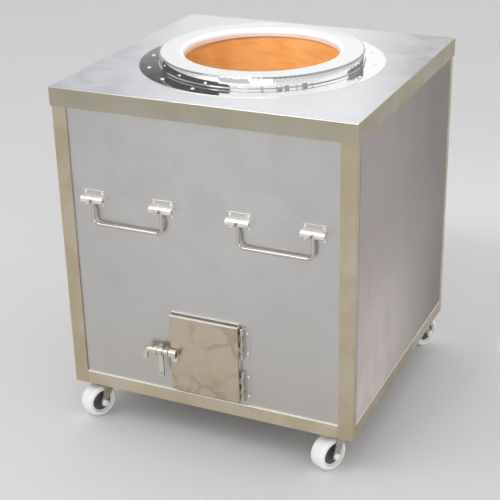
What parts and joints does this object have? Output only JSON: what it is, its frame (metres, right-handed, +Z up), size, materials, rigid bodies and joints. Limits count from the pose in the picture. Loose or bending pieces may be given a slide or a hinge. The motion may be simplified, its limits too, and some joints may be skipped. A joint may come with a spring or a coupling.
{
  "type": "charcoal tandoor",
  "caption": "Square stainless steel charcoal tandoor on swivel castors: clay pot oven under a polished mouth ring, bolted ash door low in front, drop handles and white wheels.",
  "frame": {"origin": "on the floor under the middle of the cabinet, where the wheels stand", "axes": "+Z up through the oven's mouth, -Y towards the front with the ash door, +X towards the side that is on the right when the front is looked at"},
  "size_m": [0.716, 0.7306, 0.864],
  "materials": {
    "casing_steel": "satin brushed stainless sheet",
    "frame_steel": "satin stainless angle",
    "cap_steel": "bright satin stainless sheet",
    "polished_steel": "mirror polished stainless",
    "hidden_steel": "plain mill finish",
    "clay": "unglazed fired clay",
    "refractory": "rough cast refractory",
    "insulation": "packed mineral wool",
    "grate_iron": "as cast",
    "hardware_steel": "plain stainless",
    "handle_steel": "polished stainless rod",
    "castor_steel": "zinc plated",
    "wheel_plastic": "moulded white nylon",
    "hub_plastic": "moulded dark plastic"
  },
  "bodies": {
    "cabinet": {"front_panel": "casing_steel", "back_panel": "casing_steel", "left_panel": "casing_steel", "right_panel": "casing_steel", "door_collar": "casing_steel", "post_front_left": "frame_steel", "post_front_right": "frame_steel", "post_back_left": "frame_steel", "post_back_right": "frame_steel", "rail_front": "frame_steel", "rail_back": "frame_steel", "rail_left": "frame_steel", "rail_right": "frame_steel", "top_cap": "cap_steel", "mouth_flange": "polished_steel", "mouth_ring": "polished_steel", "flange_rivets": "polished_steel", "top_frame": "hidden_steel", "base_plate": "hidden_steel", "corner_plates": "hidden_steel", "air_tunnel": "hidden_steel", "clay_pot": "clay", "hearth_bed": "refractory", "pot_base": "refractory", "insulation_fill": "insulation", "fire_grate": "grate_iron", "fixed_hinge_leaves": "hardware_steel", "hinge_pins": "hardware_steel", "latch_guide": "hardware_steel", "handle_brackets": "hardware_steel", "panel_rivets": "hardware_steel", "castor_plates": "castor_steel", "castor_bolts": "castor_steel", "castor_kingpins": "castor_steel"},
    "door": {"ash_door": "casing_steel", "door_hinge_leaves": "hardware_steel", "latch_keeper": "hardware_steel", "door_rivets": "hardware_steel"},
    "bolt": {"latch_bolt": "hardware_steel"},
    "lever": {"latch_lever": "hardware_steel"},
    "handle_front_left": {"handle_front_left": "handle_steel"},
    "handle_front_right": {"handle_front_right": "handle_steel"},
    "handle_back_left": {"handle_back_left": "handle_steel"},
    "handle_back_right": {"handle_back_right": "handle_steel"},
    "castor_front_left": {"castor_fork_front_left": "castor_steel", "castor_axle_front_left": "castor_steel"},
    "wheel_front_left": {"castor_wheel_front_left": "wheel_plastic", "wheel_hub_front_left": "hub_plastic"},
    "castor_front_right": {"castor_fork_front_right": "castor_steel", "castor_axle_front_right": "castor_steel"},
    "wheel_front_right": {"castor_wheel_front_right": "wheel_plastic", "wheel_hub_front_right": "hub_plastic"},
    "castor_back_left": {"castor_fork_back_left": "castor_steel", "castor_axle_back_left": "castor_steel"},
    "wheel_back_left": {"castor_wheel_back_left": "wheel_plastic", "wheel_hub_back_left": "hub_plastic"},
    "castor_back_right": {"castor_fork_back_right": "castor_steel", "castor_axle_back_right": "castor_steel"},
    "wheel_back_right": {"castor_wheel_back_right": "wheel_plastic", "wheel_hub_back_right": "hub_plastic"}
  },
  "joints": [
    {"name": "door_hinge", "type": "hinge", "parent": "cabinet", "child": "door", "pos_m": [0.0937, -0.3485, 0.234], "axis": [0, 0, 1], "range_deg": [0, 165]},
    {"name": "bolt_slide", "type": "slide", "parent": "cabinet", "child": "bolt", "axis": [1, 0, 0], "range_m": [0, 0.013]},
    {"name": "lever_swing", "type": "hinge", "parent": "bolt", "child": "lever", "pos_m": [-0.105, -0.361, 0.2375], "axis": [-1, 0, 0], "range_deg": [-15, 170]},
    {"name": "handle_front_left_swing", "type": "hinge", "parent": "cabinet", "child": "handle_front_left", "pos_m": [-0.178, -0.3495, 0.583], "axis": [-1, 0, 0], "range_deg": [0, 90]},
    {"name": "handle_front_right_swing", "type": "hinge", "parent": "cabinet", "child": "handle_front_right", "pos_m": [0.178, -0.3495, 0.583], "axis": [-1, 0, 0], "range_deg": [0, 90]},
    {"name": "handle_back_left_swing", "type": "hinge", "parent": "cabinet", "child": "handle_back_left", "pos_m": [-0.178, 0.3495, 0.583], "axis": [1, 0, 0], "range_deg": [0, 90]},
    {"name": "handle_back_right_swing", "type": "hinge", "parent": "cabinet", "child": "handle_back_right", "pos_m": [0.178, 0.3495, 0.583], "axis": [1, 0, 0], "range_deg": [0, 90]},
    {"name": "castor_front_left_swivel", "type": "hinge", "parent": "cabinet", "child": "castor_front_left", "pos_m": [-0.3, -0.2925, 0.083], "axis": [0, 0, 1], "continuous": true},
    {"name": "wheel_front_left_spin", "type": "hinge", "parent": "castor_front_left", "child": "wheel_front_left", "pos_m": [-0.31183, -0.31788, 0.04], "axis": [0.9063, -0.4226, 0], "continuous": true},
    {"name": "castor_front_right_swivel", "type": "hinge", "parent": "cabinet", "child": "castor_front_right", "pos_m": [0.3, -0.2925, 0.083], "axis": [0, 0, 1], "continuous": true},
    {"name": "wheel_front_right_spin", "type": "hinge", "parent": "castor_front_right", "child": "wheel_front_right", "pos_m": [0.28817, -0.31788, 0.04], "axis": [0.9063, -0.4226, 0], "continuous": true},
    {"name": "castor_back_left_swivel", "type": "hinge", "parent": "cabinet", "child": "castor_back_left", "pos_m": [-0.3, 0.2925, 0.083], "axis": [0, 0, 1], "continuous": true},
    {"name": "wheel_back_left_spin", "type": "hinge", "parent": "castor_back_left", "child": "wheel_back_left", "pos_m": [-0.28817, 0.31788, 0.04], "axis": [-0.9063, 0.4226, 0], "continuous": true},
    {"name": "castor_back_right_swivel", "type": "hinge", "parent": "cabinet", "child": "castor_back_right", "pos_m": [0.3, 0.2925, 0.083], "axis": [0, 0, 1], "continuous": true},
    {"name": "wheel_back_right_spin", "type": "hinge", "parent": "castor_back_right", "child": "wheel_back_right", "pos_m": [0.31183, 0.31788, 0.04], "axis": [-0.9063, 0.4226, 0], "continuous": true}
  ]
}
